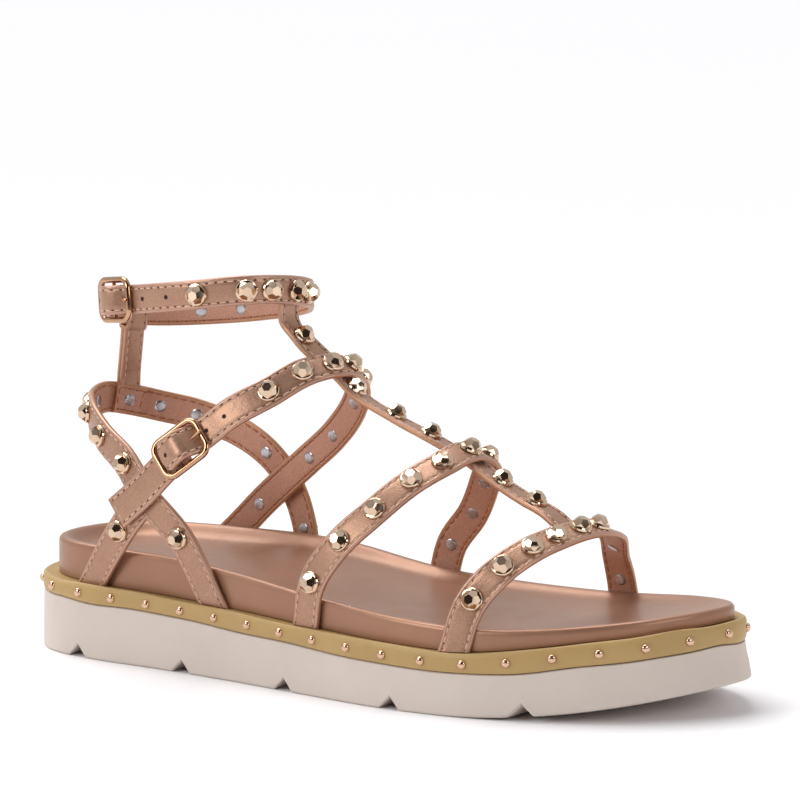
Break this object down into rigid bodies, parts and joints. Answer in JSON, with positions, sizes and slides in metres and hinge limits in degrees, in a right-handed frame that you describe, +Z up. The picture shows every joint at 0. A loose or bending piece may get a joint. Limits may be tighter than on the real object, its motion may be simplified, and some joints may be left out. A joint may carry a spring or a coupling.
{
  "type": "roman sandal",
  "caption": "Open Roman sandal for a right foot: studded leather straps with buckles at the instep and ankle, a cupped footbed, a welt and a notched platform outsole.",
  "frame": {"origin": "on the floor, under the middle of the sandal's outline", "axes": "+X towards the toe, +Y towards the inner side of the right foot, +Z up"},
  "size_m": [0.2656, 0.0998, 0.1329],
  "materials": {
    "outsole": "matte cream moulded foam rubber",
    "rand": "satin ochre band",
    "footbed": "satin metallic rose leather",
    "upper": "satin metallic rose-gold leather",
    "metal": "polished pale gold"
  },
  "bodies": {
    "root": {"outsole": "outsole", "rand": "rand", "footbed": "footbed", "upper": "upper", "ankle_strap": "upper", "instep_buckle": "metal", "ankle_buckle": "metal", "instep_prong": "metal", "ankle_prong": "metal", "stud_01": "metal", "stud_02": "metal", "stud_03": "metal", "stud_04": "metal", "stud_05": "metal", "stud_06": "metal", "stud_07": "metal", "stud_08": "metal", "stud_09": "metal", "stud_10": "metal", "stud_11": "metal", "stud_12": "metal", "stud_13": "metal", "stud_14": "metal", "stud_15": "metal", "stud_16": "metal", "stud_17": "metal", "stud_18": "metal", "stud_19": "metal", "stud_20": "metal", "stud_21": "metal", "stud_22": "metal", "stud_23": "metal", "stud_24": "metal", "stud_25": "metal", "stud_26": "metal", "stud_27": "metal", "stud_28": "metal", "stud_29": "metal", "stud_30": "metal", "stud_31": "metal", "stud_32": "metal", "stud_33": "metal", "stud_34": "metal", "stud_35": "metal", "stud_36": "metal", "stud_37": "metal", "stud_38": "metal", "stud_39": "metal", "stud_40": "metal", "stud_41": "metal", "stud_42": "metal", "stud_43": "metal", "stud_44": "metal", "stud_45": "metal", "stud_46": "metal", "stud_47": "metal", "stud_48": "metal", "stud_49": "metal", "stud_50": "metal", "stud_51": "metal"}
  },
  "joints": []
}
